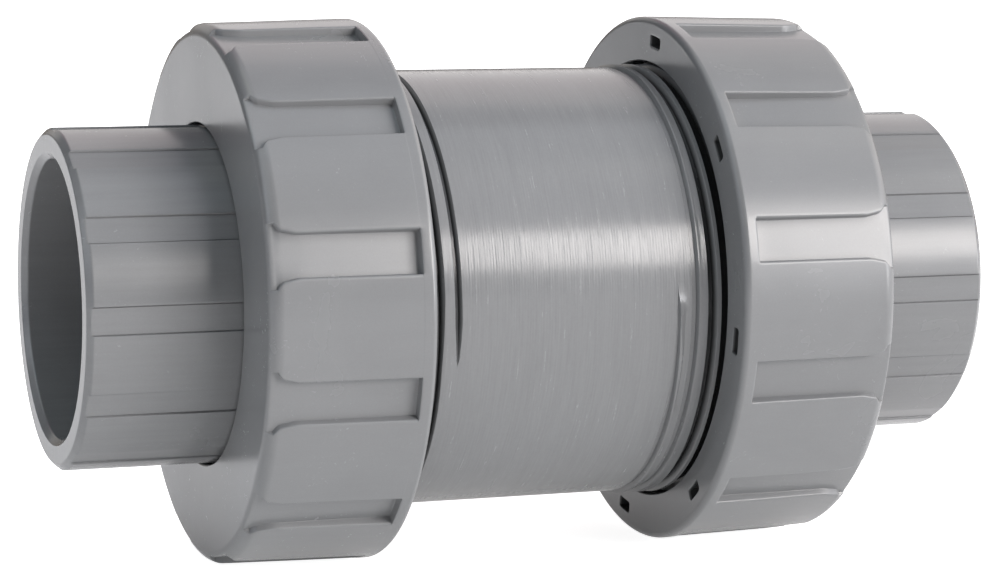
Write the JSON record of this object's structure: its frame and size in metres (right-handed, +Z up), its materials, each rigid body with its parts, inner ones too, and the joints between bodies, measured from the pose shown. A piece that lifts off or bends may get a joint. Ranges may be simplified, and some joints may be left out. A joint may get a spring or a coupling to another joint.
{
  "type": "ball check valve",
  "caption": "True-union ball check valve: a turned plastic body with a guided ball and elastomer seat, held between socket end connectors by grooved screw-on union nuts.",
  "frame": {"origin": "middle of the valve on its flow axis, halfway between the two pipe-side end faces", "axes": "+X along the flow axis from inlet to outlet, +Z up, +Y away from the side first seen"},
  "size_m": [0.2052, 0.1198, 0.1198],
  "materials": {
    "body_plastic": "mid grey rigid plastic, turned, fine circumferential tool marks, satin",
    "connector_plastic": "mid grey rigid plastic, moulded, satin gloss",
    "nut_plastic": "mid grey rigid plastic, moulded, satin gloss",
    "internal_plastic": "grey rigid plastic, machined, matte",
    "ball_plastic": "grey rigid plastic, ground and polished",
    "seal_rubber": "black moulded elastomer"
  },
  "bodies": {
    "body": {"valve_body": "body_plastic", "inlet_face_o_ring": "seal_rubber", "outlet_face_o_ring": "seal_rubber", "seat_carrier_o_ring": "seal_rubber", "seat_carrier": "internal_plastic", "ball_seat": "seal_rubber", "ball_guide_cage": "internal_plastic"},
    "inlet_connector": {"inlet_end_connector": "connector_plastic"},
    "inlet_nut": {"inlet_union_nut": "nut_plastic"},
    "outlet_connector": {"outlet_end_connector": "connector_plastic"},
    "outlet_nut": {"outlet_union_nut": "nut_plastic"},
    "check_ball": {"ball": "ball_plastic"}
  },
  "joints": [
    {"name": "ball_travel", "type": "slide", "parent": "body", "child": "check_ball", "axis": [1, 0, 0], "range_m": [0, 0.018]},
    {"name": "inlet_connector_slide", "type": "slide", "parent": "body", "child": "inlet_connector", "axis": [-1, 0, 0], "range_m": [0, 0.0212]},
    {"name": "inlet_nut_turn", "type": "hinge", "parent": "inlet_connector", "child": "inlet_nut", "pos_m": [-0.0524, 0, 0], "axis": [-1, 0, 0], "range_deg": [0, 1800]},
    {"name": "outlet_connector_slide", "type": "slide", "parent": "body", "child": "outlet_connector", "axis": [1, 0, 0], "range_m": [0, 0.0212]},
    {"name": "outlet_nut_turn", "type": "hinge", "parent": "outlet_connector", "child": "outlet_nut", "pos_m": [0.0524, 0, 0], "axis": [1, 0, 0], "range_deg": [0, 1800]}
  ],
  "couplings": [
    {"joint": "inlet_connector_slide", "follows": "inlet_nut_turn", "m_per_rad": 0.00067375},
    {"joint": "outlet_connector_slide", "follows": "outlet_nut_turn", "m_per_rad": 0.00067375}
  ]
}
